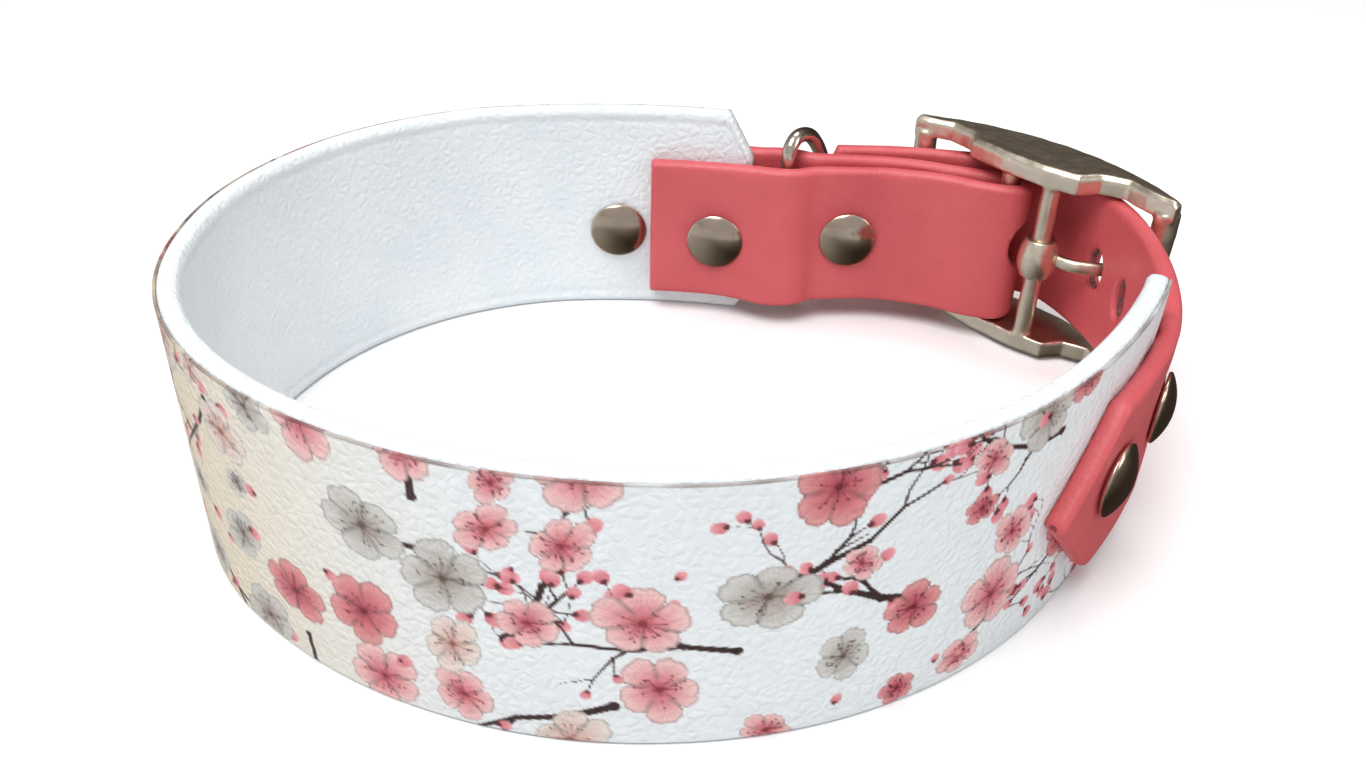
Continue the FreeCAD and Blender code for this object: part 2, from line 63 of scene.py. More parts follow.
class Path:
    """A chain of tangent arcs in plan; offsets are positive to the left of travel."""

    def __init__(self, x, y, heading):
        self.spans = []
        self.end = (x, y, math.radians(heading))

    def arc(self, length, bend):
        x, y, head = self.end
        self.spans.append((x, y, head, bend, length))
        self.end = self._walk(self.spans[-1], length)
        return self

    def turn(self, radius, degrees):
        return self.arc(abs(radius * math.radians(degrees)), math.copysign(1.0 / radius, degrees))

    def reach(self, x, y, heading):
        """Two tangent arcs from the end of the path to a point and heading."""
        ax, ay, ahead = self.end
        start, goal = Vector((ax, ay)), Vector((x, y))
        ta = Vector((math.cos(ahead), math.sin(ahead)))
        tb = Vector((math.cos(math.radians(heading)), math.sin(math.radians(heading))))
        step = goal - start
        pull, along = ta.dot(tb) - 1.0, step.dot(ta + tb)
        if abs(pull) < 1e-9:
            d = step.dot(step) / (2.0 * along)
        else:
            d = (along - math.sqrt(along * along - 2.0 * pull * step.dot(step))) / (2.0 * pull)
        for point in ((start + goal + (ta - tb) * d) * 0.5, goal):
            px, py, head = self.end
            w = point - Vector((px, py))
            side = Vector((-math.sin(head), math.cos(head)))
            bend = 2.0 * w.dot(side) / w.dot(w)
            half = math.asin(max(-1.0, min(1.0, bend * w.length / 2.0)))
            self.arc(w.length if abs(bend) < 1e-6 else 2.0 * half / bend, bend)
        return self

    def follow(self, path, start, stop, offset):
        """The stretch of another path between two distances, at a constant offset."""
        for _, _, _, bend, length in path.spans:
            covered = min(stop, length) - max(start, 0.0)
            if covered > 0.0:
                scale = 1.0 - offset * bend
                self.arc(covered * scale, bend / scale)
            start, stop = start - length, stop - length
        return self

    @staticmethod
    def _walk(span, s):
        x, y, head, bend, _ = span
        turned = head + bend * s
        if abs(bend) < 1e-6:
            return x + s * math.cos(head), y + s * math.sin(head), turned
        return (x + (math.sin(turned) - math.sin(head)) / bend,
                y - (math.cos(turned) - math.cos(head)) / bend, turned)

    def length(self):
        return sum(span[4] for span in self.spans)

    def at(self, s):
        """x, y and heading at a distance along the path."""
        for i, span in enumerate(self.spans):
            if s <= span[4] or i == len(self.spans) - 1:
                return self._walk(span, s)
            s -= span[4]


band = Path(*at_origin(12.3, 49.5), 168.8)
for radius, degrees in ((98.0, 18.7), (53.5, 85.8), (43.5, 43.3), (70.0, 91.9), (112.0, 12.0),
                        (45.0, 8.0)):
    band.turn(radius, degrees)
BAND_LENGTH = band.length()

FRAME_AT, FRAME_TURN = at_origin(43.4, 59.5), math.radians(-46.15)
STRAP_BAR = (20.8, -1.9)


def from_frame(x, y):
    c, s = math.cos(FRAME_TURN), math.sin(FRAME_TURN)
    return Vector((FRAME_AT[0] + c * x - s * y, FRAME_AT[1] + s * x + c * y))


def beside(path, s, offset):
    x, y, head = path.at(s)
    return x - offset * math.sin(head), y + offset * math.cos(head), head


over_band = HALF_BAND + HALF_STRAP
wrap = 1.5 + 0.1 + HALF_STRAP               # bar radius, clearance and half the strap
bar = from_frame(*STRAP_BAR)
INNER_LAP, OUTER_LAP, BILLET_LAP = 18.0, 28.6, 36.0
RIVET_C_X, LEG_IN_Y, LEG_OUT_Y, LEG_FLAT = 29.9, 46.8, 50.1, 10.0
FOLD_HEADING = -9.0

x, y, head = beside(band, INNER_LAP, over_band)
chape = Path(x, y, math.degrees(head) - 180.0)
bend = band.spans[0][3]
chape.arc(INNER_LAP * (1.0 - over_band * bend), -bend / (1.0 - over_band * bend))
chape.reach(*at_origin(18.4, 45.3), -3.0)
chape.reach(*at_origin(RIVET_C_X - LEG_FLAT / 2.0, LEG_IN_Y), 0.0)
chape.arc(LEG_FLAT, 0.0)
chape.reach(*at_origin(42.0, 45.5), -11.0)
turn = math.radians(FOLD_HEADING)
chape.reach(bar.x + wrap * math.sin(turn), bar.y - wrap * math.cos(turn), FOLD_HEADING)
FOLD_START = chape.length()
chape.turn(wrap, 180.0)
chape.reach(*at_origin(RIVET_C_X + LEG_FLAT / 2.0, LEG_OUT_Y), 180.0)
chape.arc(LEG_FLAT, 0.0)
chape.reach(*at_origin(18.4, 52.2), 171.0)
x, y, head = beside(band, 0.0, -over_band)
chape.reach(x, y, math.degrees(head))
chape.follow(band, 0.0, OUTER_LAP, -over_band)

x, y, head = beside(band, BAND_LENGTH - BILLET_LAP, -over_band)
billet = Path(x, y, math.degrees(head))
billet.follow(band, BAND_LENGTH - BILLET_LAP, BAND_LENGTH, -over_band)
billet.reach(*at_origin(72.2, 15.0), 85.0)
billet.reach(*at_origin(71.5, 32.6), 103.0)
HOLE_ONE = billet.length()
for goal in ((67.5, 44.2, 117.0), (58.6, 50.8, 158.0), (44.2, 54.8, 172.0), (24.4, 55.0, 181.0)):
    billet.reach(*at_origin(*goal[:2]), goal[2])


# ---------------------------------------------------------------- rivets' places

def facing(path, s, offset, z):
    """A placement on a path whose local X runs along it, Y up and Z to the outside."""
    x, y, head = beside(path, s, offset)
    along, out = (math.cos(head), math.sin(head)), (math.sin(head), -math.cos(head))
    return Matrix(((along[0], 0, out[0], x), (along[1], 0, out[1], y), (0, 1, 0, z), (0, 0, 0, 1)))


STACK_ONE = BAND_GAUGE + STRAP_GAUGE
# name: placement of the inner seat, height of the stack, gap under the inner head
RIVETS = {
    "rivet_a": (facing(band, 24.0, HALF_BAND, CHAPE_MIDDLE - 2.0), STACK_ONE, SEAT_GAP),
    "rivet_b": (facing(band, 5.6, HALF_BAND + STRAP_GAUGE, CHAPE_MIDDLE - 2.0),
                STACK_ONE + STRAP_GAUGE, SEAT_GAP),
    "rivet_d": (facing(band, BAND_LENGTH - 5.0, HALF_BAND, BILLET_MIDDLE + 1.6), STACK_ONE, SEAT_GAP),
    "rivet_e": (facing(band, BAND_LENGTH - 23.0, HALF_BAND, BILLET_MIDDLE + 0.8), STACK_ONE, SEAT_GAP),
}
cx, cy = at_origin(RIVET_C_X, LEG_IN_Y - HALF_STRAP)
RIVETS["rivet_c"] = (Matrix(((-1, 0, 0, cx), (0, 0, 1, cy), (0, 1, 0, CHAPE_MIDDLE - 0.6), (0, 0, 0, 1))),
                     LEG_OUT_Y - LEG_IN_Y + STRAP_GAUGE, 0.0)


# ---------------------------------------------------------------- mesh helpers

def smooth_step(x):
    x = np.clip(x, 0.0, 1.0)
    return x * x * (3.0 - 2.0 * x)


def new_object(name, verts, faces, material):
    """A smooth-shaded mesh object from points in millimetres, its faces turned outward."""
    mesh = bpy.data.meshes.new(name)
    mesh.from_pydata((np.asarray(verts, float) * MM).tolist(), [], faces)
    shell = bmesh.new()
    shell.from_mesh(mesh)
    if shell.calc_volume(signed=True) < 0.0:
        bmesh.ops.reverse_faces(shell, faces=shell.faces[:])
    shell.to_mesh(mesh)
    shell.free()
    mesh.update()
    obj = bpy.data.objects.new(name, mesh)
    bpy.context.scene.collection.objects.link(obj)
    mesh.materials.append(material)
    mesh.polygons.foreach_set("use_smooth", [True] * len(mesh.polygons))
    return obj


def grid_faces(rows, columns):
    """Quads of a tube of closed rings, with a flat cap at each end."""
    ring = np.arange(columns)
    after = np.roll(ring, -1)
    starts = np.arange(rows - 1)[:, None] * columns
    quads = np.stack([starts + ring, starts + after, starts + columns + after,
                      starts + columns + ring], -1).reshape(-1, 4).tolist()
    half = columns // 2
    last = (rows - 1) * columns
    for k in range(half - 1):
        a, b, c, d = k, k + 1, columns - 2 - k, columns - 1 - k
        quads.append([d, c, b, a])
        quads.append([last + a, last + b, last + c, last + d])
    return quads


HALF_ARC = 5      # points on each half of a rounded edge


class Strip:
    """A bent strip with rounded edges: rings of points round its section, along its path."""

    def __init__(self, path, step, low, high, half, middle=0.0, edge=1.2, squareness=1.0,
                 end_round=0.8, corner=0.8, row=0.8, relief=None, lean=None):
        length = path.length()
        ends = end_round * (1.0 - np.cos(np.linspace(0.0, math.pi / 2.0, 7)))[1:]
        body = np.linspace(end_round, length - end_round, max(3, int(length / step)))[1:-1]
        self.s = np.concatenate([[0.02], ends, body, (length - ends)[::-1], [length - 0.02]])
        arc = np.linspace(0.0, math.pi, 2 * HALF_ARC + 2)[1:-1]
        count = max(4, int((np.max(high(self.s) - low(self.s)) - 2 * edge) / row))
        share = np.linspace(0.0, 1.0, count)
        near = np.minimum(self.s, length - self.s)
        close = np.sqrt(np.clip(1.0 - (1.0 - np.clip(near / end_round, 0, 1)) ** 2, 0.0, 1.0))
        close = np.maximum(close, 0.12)
        pull = corner * (1.0 - np.sqrt(np.clip(1.0 - (1.0 - np.clip(near / corner, 0, 1)) ** 2, 0, 1)))
        bottom, top = low(self.s) + pull, high(self.s) - pull
        reach = np.minimum(edge, (top - bottom) * 0.45)[:, None]
        bottom, top = bottom[:, None], top[:, None]
        flat = bottom + reach + (top - bottom - 2 * reach) * share
        cosine = np.sign(np.cos(arc)) * np.abs(np.cos(arc)) ** squareness
        z = np.concatenate([flat, top - reach + reach * np.sin(arc), flat[:, ::-1],
                            bottom + reach - reach * np.sin(arc)], 1)
        side = np.concatenate([np.ones(count), cosine, -np.ones(count), -cosine])
        off = half * side * close[:, None] + middle
        # the ring starts at the middle of the bottom edge, so that its two halves mirror each other
        z, off = np.roll(z, HALF_ARC, 1), np.roll(off, HALF_ARC, 1)
        side = np.repeat(np.roll(side, HALF_ARC)[None, :], len(self.s), 0)
        grid_s = np.repeat(self.s[:, None], len(cosine) * 2 + count * 2, 1)
        if relief:
            off = off + relief(grid_s, z, side, np.minimum(z - bottom, top - z))
        if lean:
            off = off + lean(grid_s, z)
        self.along, self.up, self.side = grid_s, z, side
        plan = np.array([path.at(s) for s in self.s])
        head = plan[:, 2:3]
        self.points = np.stack([plan[:, 0:1] - off * np.sin(head), plan[:, 1:2] + off * np.cos(head),
                                z], -1)

    def make(self, name, material):
        rows, columns = self.points.shape[:2]
        return new_object(name, self.points.reshape(-1, 3), grid_faces(rows, columns), material)


# ---------------------------------------------------------------- node helpers

def material(name, roughness, metallic=0.0):
    """A material with its Principled shader."""
    made = bpy.data.materials.new(name)
    made.use_nodes = True
    shader = made.node_tree.nodes["Principled BSDF"]
    shader.inputs["Roughness"].default_value = roughness
    shader.inputs["Metallic"].default_value = metallic
    return made, made.node_tree, shader


def node(tree, kind, links=None, **values):
    """A node with its sockets set by name or number, and its plain properties by name."""
    made = tree.nodes.new(kind)
    for key, value in values.items():
        setattr(made, key, value)
    for key, value in (links or {}).items():
        if isinstance(value, bpy.types.NodeSocket):
            tree.links.new(value, made.inputs[key])
        else:
            made.inputs[key].default_value = value
    return made


def math_node(tree, operation, a, b=0.0):
    return node(tree, "ShaderNodeMath", {0: a, 1: b}, operation=operation).outputs[0]


def object_space(tree):
    return tree.nodes.new("ShaderNodeTexCoord").outputs["Object"]


def noise_at(tree, scale, detail=4.0, vector=None, rough=0.55):
    made = node(tree, "ShaderNodeTexNoise", {"Scale": scale, "Detail": detail, "Roughness": rough})
    tree.links.new(vector or object_space(tree), made.inputs["Vector"])
    return made.outputs[0]


def ramp(tree, factor, *stops):
    """A colour ramp from (position, (r, g, b)) stops."""
    made = tree.nodes.new("ShaderNodeValToRGB")
    elements = made.color_ramp.elements
    while len(elements) < len(stops):
        elements.new(0.5)
    for element, (position, colour) in zip(elements, stops):
        element.position, element.color = position, (*colour, 1.0)
    tree.links.new(factor, made.inputs[0])
    return made.outputs[0]


def bump(tree, shader, height, strength, distance):
    made = node(tree, "ShaderNodeBump", {"Height": height, "Strength": strength, "Distance": distance})
    tree.links.new(made.outputs[0], shader.inputs["Normal"])


def linear(r, g, b):
    """Linear colour from 0-255 display values."""
    return tuple(((c / 255.0 + 0.055) / 1.055) ** 2.4 if c > 10 else c / 3294.6 for c in (r, g, b))


def leather_grain(tree, cell, fine):
    """Height of a pebbled grain: cells with soft valleys, and fine noise on top."""
    where = object_space(tree)
    cells = node(tree, "ShaderNodeTexVoronoi", {"Scale": 1.0 / cell, "Vector": where},
                 feature="DISTANCE_TO_EDGE").outputs["Distance"]
    valley = math_node(tree, "MINIMUM", math_node(tree, "MULTIPLY", cells, 3.0), 1.0)
    return math_node(tree, "ADD", valley, math_node(tree, "MULTIPLY", noise_at(tree, fine, 5.0), 1.2))


# ---------------------------------------------------------------- materials

def coral_skin():
    made, tree, shader = material("coral_skin", 0.42)
    cloud = noise_at(tree, 55.0, 3.0)
    colour = ramp(tree, cloud, (0.30, linear(197, 80, 85)), (0.70, linear(210, 92, 97)))
    tree.links.new(colour, shader.inputs["Base Color"])
    rough = node(tree, "ShaderNodeMapRange", {0: noise_at(tree, 300.0), 3: 0.36, 4: 0.52}).outputs[0]
    tree.links.new(rough, shader.inputs["Roughness"])
    bump(tree, shader, leather_grain(tree, 0.0011, 900.0), 0.16, 0.0002)
    return made


def lining_skin():
    made, tree, shader = material("lining_skin", 0.5)
    cloud = noise_at(tree, 40.0, 4.0)
    colour = ramp(tree, cloud, (0.3, linear(222, 230, 234)), (0.7, linear(234, 239, 241)))
    tree.links.new(colour, shader.inputs["Base Color"])
    bump(tree, shader, leather_grain(tree, 0.0016, 700.0), 0.45, 0.00025)
    return made


def printed_skin():
    made, tree, shader = material("printed_skin", 0.40)
    ink = node(tree, "ShaderNodeAttribute", attribute_name="ink").outputs["Color"]
    mottle = ramp(tree, noise_at(tree, 350.0, 3.0), (0.2, (0.93, 0.93, 0.93)), (0.8, (1.0, 1.0, 1.0)))
    mixed = node(tree, "ShaderNodeMix", data_type="RGBA", blend_type="MULTIPLY")
    mixed.inputs["Factor"].default_value = 1.0
    tree.links.new(ink, mixed.inputs["A"])
    tree.links.new(mottle, mixed.inputs["B"])
    tree.links.new(mixed.outputs["Result"], shader.inputs["Base Color"])
    bump(tree, shader, leather_grain(tree, 0.0015, 800.0), 0.5, 0.00025)
    return made


def woven(name, colour):
    made, tree, shader = material(name, 0.9)
    split = node(tree, "ShaderNodeSeparateXYZ", {0: object_space(tree)})
    across = math_node(tree, "SINE", math_node(tree, "MULTIPLY", split.outputs[2], 7000.0))
    along = math_node(tree, "SINE", math_node(tree, "MULTIPLY", math_node(
        tree, "ADD", split.outputs[0], split.outputs[1]), 5000.0))
    height = math_node(tree, "MULTIPLY", across, along)
    # the weave's low points are painted darker: painted shade in its hollows
    tree.links.new(ramp(tree, math_node(tree, "MULTIPLY_ADD", height, 0.5),
                        (0.0, [c * 0.6 for c in colour]), (1.0, colour)), shader.inputs["Base Color"])
    bump(tree, shader, height, 0.6, 0.0002)
    return made


def metal(name, dark, light, roughness, painted_sheen):
    """Antique nickel: a painted reflection darkens faces that look up and lightens the sides; edges are
    lighter, partly real wear and partly a painted highlight.
    """
    made, tree, shader = material(name, roughness, 1.0)
    geometry = node(tree, "ShaderNodeNewGeometry")
    # edges lighter by their pointiness: partly real wear, partly a painted highlight
    edge = node(tree, "ShaderNodeMapRange", {0: geometry.outputs["Pointiness"], 1: 0.50, 2: 0.57}
                ).outputs[0]
    # faces that look up are painted dark and the sides light: a painted reflection of the room, standing in
    # for light
    facing_up = node(tree, "ShaderNodeSeparateXYZ", {0: geometry.outputs["Normal"]}).outputs[2]
    side = node(tree, "ShaderNodeMapRange", {0: facing_up, 1: 0.9, 2: 0.3, 3: 0.0, 4: painted_sheen}).outputs[0]
    spots = node(tree, "ShaderNodeMapRange", {0: noise_at(tree, 160.0, 4.0), 1: 0.35, 2: 0.7,
                                              3: -0.10, 4: 0.10}).outputs[0]
    wear_and_sheen = math_node(tree, "ADD", math_node(tree, "MAXIMUM", edge, side), spots)
    tree.links.new(ramp(tree, wear_and_sheen, (0.0, dark), (1.0, light)), shader.inputs["Base Color"])
    rough = node(tree, "ShaderNodeMapRange", {0: noise_at(tree, 400.0), 3: roughness - 0.05,
                                              4: roughness + 0.07}).outputs[0]
    tree.links.new(rough, shader.inputs["Roughness"])
    bump(tree, shader, noise_at(tree, 600.0, 3.0), 0.05, 0.0002)
    return made


CORAL, LINING, PRINT = coral_skin(), lining_skin(), printed_skin()
WOVEN = woven("woven_core", (0.35, 0.30, 0.27))
CAST = metal("cast_nickel", (0.52, 0.44, 0.35), (0.97, 0.86, 0.70), 0.31, 0.75)
WIRE = metal("wire_nickel", (0.40, 0.34, 0.28), (0.85, 0.78, 0.68), 0.18, 0.6)
RIVET = metal("rivet_nickel", (0.46, 0.37, 0.29), (0.76, 0.62, 0.49), 0.19, 0.2)


# ---------------------------------------------------------------- wide band

CREASE_IN = 2.3        # distance of the creases from the lining's edges


def band_low(s):
    back, front = 1.88 * (1.6 - s), 1.6 * (s - BAND_LENGTH + 2.0)
    return np.maximum(0.0, np.maximum(back, front))


def band_high(s):
    back, front = 30.0 + 1.778 * s, BAND_WIDTH - 1.6 * (s - BAND_LENGTH + 2.0)
    return np.minimum(BAND_WIDTH, np.minimum(back, front))


def band_lean(s, z):
    """The top edge opens a little outward along the back left, and the edge is slightly wavy."""
    place = np.exp(-((s - 72.0) / 34.0) ** 2)
    wave = 0.10 * np.sin(s / 9.0) + 0.07 * np.sin(s / 4.3 + 1.0)
    rise = (z / BAND_WIDTH) ** 2
    calm = smooth_step((s - 34.0) / 16.0) * smooth_step((BAND_LENGTH - 42.0 - s) / 16.0)
    return (-1.7 * place * rise + wave * (rise - 0.3)) * calm


def lining_relief(s, z, side, depth):
    crease = np.exp(-((depth - CREASE_IN) / 0.34) ** 2)
    roll = 0.16 * np.exp(-((depth - 1.1) / 0.7) ** 2)
    uneven = 0.75 + 0.25 * np.sin(s / 7.0 + z)
    return np.where(side > 0.99, -0.26 * crease * uneven + roll, 0.0)


lining_strip = Strip(band, 0.7, band_low, band_high, HALF_BAND - FILM / 2.0, middle=FILM / 2.0,
                     edge=0.85, squareness=0.62, row=0.42, relief=lining_relief, lean=band_lean)
lining = lining_strip.make("lining", LINING)
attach(lining, "collar")
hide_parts("band_backing")



def core_low(s):
    return np.maximum(BAND_CORE_MARGIN, band_low(s) + 0.6)


def core_high(s):
    return np.minimum(BAND_WIDTH - BAND_CORE_MARGIN, band_high(s) - 0.6)


weave = Strip(band, 2.0, core_low, core_high, BAND_CORE_HALF, middle=FILM / 2.0, edge=0.5, row=2.0,
              lean=band_lean).make("band_weave", WOVEN)
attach(weave, "collar")
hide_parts("band_core")


# ---------------------------------------------------------------- blossom print

def rgb(*values):
    return np.array(values, float) / 255.0


ROSE = ((0.0, rgb(146, 40, 58)), (0.28, rgb(202, 90, 102)), (0.7, rgb(222, 132, 136)),
        (1.0, rgb(232, 162, 160)))
PINK = ((0.0, rgb(178, 62, 76)), (0.25, rgb(219, 122, 130)), (0.60, rgb(238, 170, 171)),
        (1.0, rgb(247, 210, 206)))
GREY = ((0.0, rgb(128, 106, 96)), (0.22, rgb(176, 166, 157)), (0.6, rgb(201, 197, 190)),
        (1.0, rgb(219, 217, 212)))
CREAM = ((0.0, rgb(186, 120, 108)), (0.25, rgb(222, 186, 174)), (0.7, rgb(232, 212, 202)),
         (1.0, rgb(240, 228, 220)))
TWIG, BUD, CALYX = rgb(66, 46, 47), rgb(208, 96, 108), rgb(104, 50, 54)
SOFT_EDGE = 0.14       # width over which an inked edge fades


def shade(stops, t):
    positions = [p for p, _ in stops]
    return np.stack([np.interp(t, positions, [c[i] for _, c in stops]) for i in range(3)], -1)


class Print:
    """Ink on the band's skin, painted in millimetres along and up the band."""

    def __init__(self, s, z):
        self.s, self.z = s, z
        # the ground is painted warmer and creamier over part of the band: a painted pool of warm light
        painted_warm_light = smooth_step((BAND_LENGTH * 0.66 - s) / (BAND_LENGTH * 0.22))[:, None]
        painted_warm_light = painted_warm_light * smooth_step((s - 20.0) / 60.0)[:, None]
        self.ink = rgb(230, 235, 237) * (1.0 - painted_warm_light) + rgb(227, 212, 186) * painted_warm_light

    def near(self, s, z, reach):
        return np.nonzero((np.abs(self.s - s) < reach) & (np.abs(self.z - z) < reach))[0]

    def lay(self, at, mask, colour):
        mask = mask[:, None]
        self.ink[at] = self.ink[at] * (1.0 - mask) + colour * mask

    def line(self, a, b, wide_a, wide_b, colour, strength=1.0):
        """A tapered stroke."""
        middle, reach = (a + b) / 2.0, np.linalg.norm(b - a) / 2.0 + 1.0
        at = self.near(middle[0], middle[1], reach)
        px, pz = self.s[at] - a[0], self.z[at] - a[1]
        run = b - a
        t = np.clip((px * run[0] + pz * run[1]) / max(run @ run, 1e-9), 0.0, 1.0)
        away = np.hypot(px - t * run[0], pz - t * run[1])
        wide = wide_a + (wide_b - wide_a) * t
        self.lay(at, strength * smooth_step((wide - away) / SOFT_EDGE + 0.5), colour)

    def dot(self, centre, radius, colour, strength=1.0):
        at = self.near(centre[0], centre[1], radius + 0.5)
        away = np.hypot(self.s[at] - centre[0], self.z[at] - centre[1])
        self.lay(at, strength * smooth_step((radius - away) / SOFT_EDGE + 0.5), colour)

    def bud(self, centre, radius, heading):
        """A plump bud with a dark calyx towards its twig."""
        at = self.near(centre[0], centre[1], radius * 1.8)
        px, pz = self.s[at] - centre[0], self.z[at] - centre[1]
        along = px * math.cos(heading) + pz * math.sin(heading)
        away = np.hypot(along / 1.18, -px * math.sin(heading) + pz * math.cos(heading))
        light = np.clip(0.5 + along / radius * 0.35, 0.0, 1.0)[:, None]
        tone = BUD * (1 - light) + rgb(240, 178, 182) * light
        self.lay(at, smooth_step((radius - away) / SOFT_EDGE + 0.5), tone)
        foot = centre - 0.95 * radius * np.array([math.cos(heading), math.sin(heading)])
        self.dot(foot, radius * 0.45, CALYX)

    def blossom(self, centre, radius, stops, dice):
        """Five notched petals with veins, a dark heart and stamens."""
        at = self.near(centre[0], centre[1], radius * 1.2)
        tilt, lean = dice.uniform(0, math.pi), dice.uniform(0.72, 1.0)
        px, pz = self.s[at] - centre[0], self.z[at] - centre[1]
        u = px * math.cos(tilt) + pz * math.sin(tilt)
        v = (-px * math.sin(tilt) + pz * math.cos(tilt)) / lean
        rho, angle = np.hypot(u, v), np.arctan2(v, u) + dice.uniform(0, 2)
        fifth = 2.0 * math.pi / 5.0
        petal = np.round(angle / fifth)
        phi = angle - petal * fifth
        stretch = dice.uniform(0.88, 1.06, 5)[petal.astype(int) % 5]
        lobe = np.abs(np.cos(2.5 * phi)) ** 0.55
        rim = radius * stretch * (0.70 + 0.30 * lobe - 0.05 * np.exp(-(phi / 0.10) ** 2)
                                  + 0.012 * np.sin(angle * 23.0))
        t = rho / rim
        colour = shade(stops, t)
        seam = np.exp(-(((fifth / 2.0 - np.abs(phi)) * rho) / (0.055 * radius)) ** 2) * smooth_step(t * 1.6)
        veins = 0.5 + 0.5 * np.sin(phi * 46.0 + np.sin(rho * 2.0) * 0.7)
        outline = np.exp(-((t - 0.97) / 0.035) ** 2)
        dark = 1.0 - 0.22 * seam - 0.06 * veins * smooth_step(t * 2.0) - 0.20 * outline
        cover = smooth_step((rim - rho) / SOFT_EDGE + 0.5)
        self.lay(at, cover * 0.95, colour * dark[:, None])
        self.dot(centre, radius * 0.085, stops[0][1] * 0.75, 0.8)
        for k in range(15):
            ray = dice.uniform(0, 2 * math.pi)
            tip = centre + radius * dice.uniform(0.30, 0.52) * np.array([math.cos(ray), math.sin(ray)])
            self.line(centre, tip, 0.07, 0.05, stops[0][1] * 0.8, 0.55)
            self.dot(tip, 0.15, stops[0][1] * 0.55, 0.85)

    def twig(self, start, heading, length, wide, dice, depth=0):
        """A jagged twig with side shoots; shoots end in buds."""
        at, step = np.array(start, float), length / 4.0
        for k in range(4):
            heading += dice.uniform(-0.42, 0.42)
            after = at + step * np.array([math.cos(heading), math.sin(heading)])
            thin = wide * (1.0 - 0.2 * k)
            self.line(at, after, thin, thin * 0.82, TWIG)
            self.dot(at, thin * 1.35, TWIG)
            if depth < 2 and dice.random() < 0.72:
                side = heading + dice.choice([-1, 1]) * dice.uniform(0.5, 0.95)
                self.twig(after, side, length * dice.uniform(0.32, 0.5), thin * 0.6, dice, depth + 1)
            at = after
        if dice.random() < 0.8:
            self.bud(at + 0.6 * np.array([math.cos(heading), math.sin(heading)]),
                     dice.uniform(0.6, 1.05), heading)


def paint_print(s, z):
    """A generic spread of blossoms and twigs over the whole band."""
    dice = np.random.default_rng(23)
    sheet = Print(s, z)
    for k in range(34):
        start = (BAND_LENGTH * (k + dice.random()) / 34.0, dice.uniform(3.0, 35.0))
        sheet.twig(start, dice.uniform(0, 2 * math.pi), dice.uniform(13.0, 24.0),
                   dice.uniform(0.34, 0.60), dice)
    placed = []
    for low, high, wanted in ((5.2, 6.6, 28), (3.7, 4.9, 40), (2.5, 3.3, 28)):
        for _ in range(4000):
            radius = dice.uniform(low, high)
            centre = np.array([dice.uniform(0.0, BAND_LENGTH), dice.uniform(-1.0, BAND_WIDTH + 1.0)])
            if all(np.hypot(*(centre - c)) > 0.82 * (radius + r) for c, r, _ in placed):
                placed.append((centre, radius, dice.random()))
                wanted -= 1
            if not wanted:
                break
    for centre, radius, tone in sorted(placed, key=lambda item: item[1]):
        stops = (ROSE, PINK, GREY, CREAM)[int(np.searchsorted((0.16, 0.44, 0.86), tone))]
        sheet.blossom(centre, radius, stops, dice)
    for k in range(46):
        sheet.bud(np.array([dice.uniform(0, BAND_LENGTH), dice.uniform(1, 37)]),
                  dice.uniform(0.55, 1.0), dice.uniform(0, 2 * math.pi))
    # a thin, uneven dark line painted along the skin's top edge under the rim: a painted shadow where the
    # skin meets the rim
    cut = smooth_step((z - film_high(s) + 0.42) / 0.2) * (0.42 + 0.22 * np.sin(s / 6.0) * np.sin(s / 1.7))
    sheet.lay(slice(None), cut, rgb(96, 76, 70))
    return np.clip(sheet.ink, 0.0, 1.0)


def film_low(s):
    return band_low(s) + 0.28


def film_high(s):
    return band_high(s) - 0.28


INK_STEP = 0.24
film_strip = Strip(band, INK_STEP, film_low, film_high, FILM / 2.0,
                   middle=-(HALF_BAND - FILM / 2.0) - 0.02, edge=0.2, end_round=0.2, corner=0.4,
                   row=INK_STEP, lean=band_lean)
film = film_strip.make("printed_skin", PRINT)
colours = np.ones((film_strip.along.size, 4), np.float32)
painted = paint_print(film_strip.along.ravel(), film_strip.up.ravel())
colours[:, :3] = np.where(painted <= 0.04045, painted / 12.92, ((painted + 0.055) / 1.055) ** 2.4)
layer = film.data.color_attributes.new("ink", "FLOAT_COLOR", "POINT")
layer.data.foreach_set("color", colours.ravel())
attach(film, "collar")
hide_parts("band_print")


# ---------------------------------------------------------------- coral straps

def strap_relief(path, rivets):
    """The skin sinks round each rivet and swells a little between them."""
    plan = np.array([path.at(s)[:2] for s in np.arange(0.0, path.length(), 0.5)])
    marks = []
    for seat in (RIVETS[name][0].translation for name in rivets):
        away = np.hypot(plan[:, 0] - seat.x, plan[:, 1] - seat.y)
        for k in range(1, len(away) - 1):
            if away[k] < 6.0 and away[k] <= away[k - 1] and away[k] < away[k + 1]:
                marks.append((0.5 * k, seat.z))

    def relief(s, z, side, depth):
        sunk = np.zeros_like(s)
        for at, height in marks:
            away = np.hypot(s - at, z - height)
            sunk += 0.20 * np.exp(-((away - 5.3) / 1.3) ** 2)
        uneven = 0.05 * np.sin(s / 5.0 + z / 6.0) + 0.03 * np.sin(s / 2.1)
        return (uneven - np.minimum(sunk, 0.3)) * np.sign(side) * (np.abs(side) > 0.99)
    return relief


def lathe(name, profile, place, skin, turns=64):
    """A turned piece about local Z from (radius, height) points that start and end on the axis."""
    verts, faces = [], []
    count = len(profile) - 2
    for k in range(turns):
        a = 2.0 * math.pi * k / turns
        verts += [place @ Vector((r * math.cos(a), r * math.sin(a), h)) for r, h in profile[1:-1]]
    first, last = len(verts), len(verts) + 1
    verts += [place @ Vector((0, 0, profile[0][1])), place @ Vector((0, 0, profile[-1][1]))]
    for k in range(turns):
        a, b = k * count, (k + 1) % turns * count
        faces += [(a + j, b + j, b + j + 1, a + j + 1) for j in range(count - 1)]
        faces += [(first, b, a), (last, a + count - 1, b + count - 1)]
    return new_object(name, verts, faces, skin)


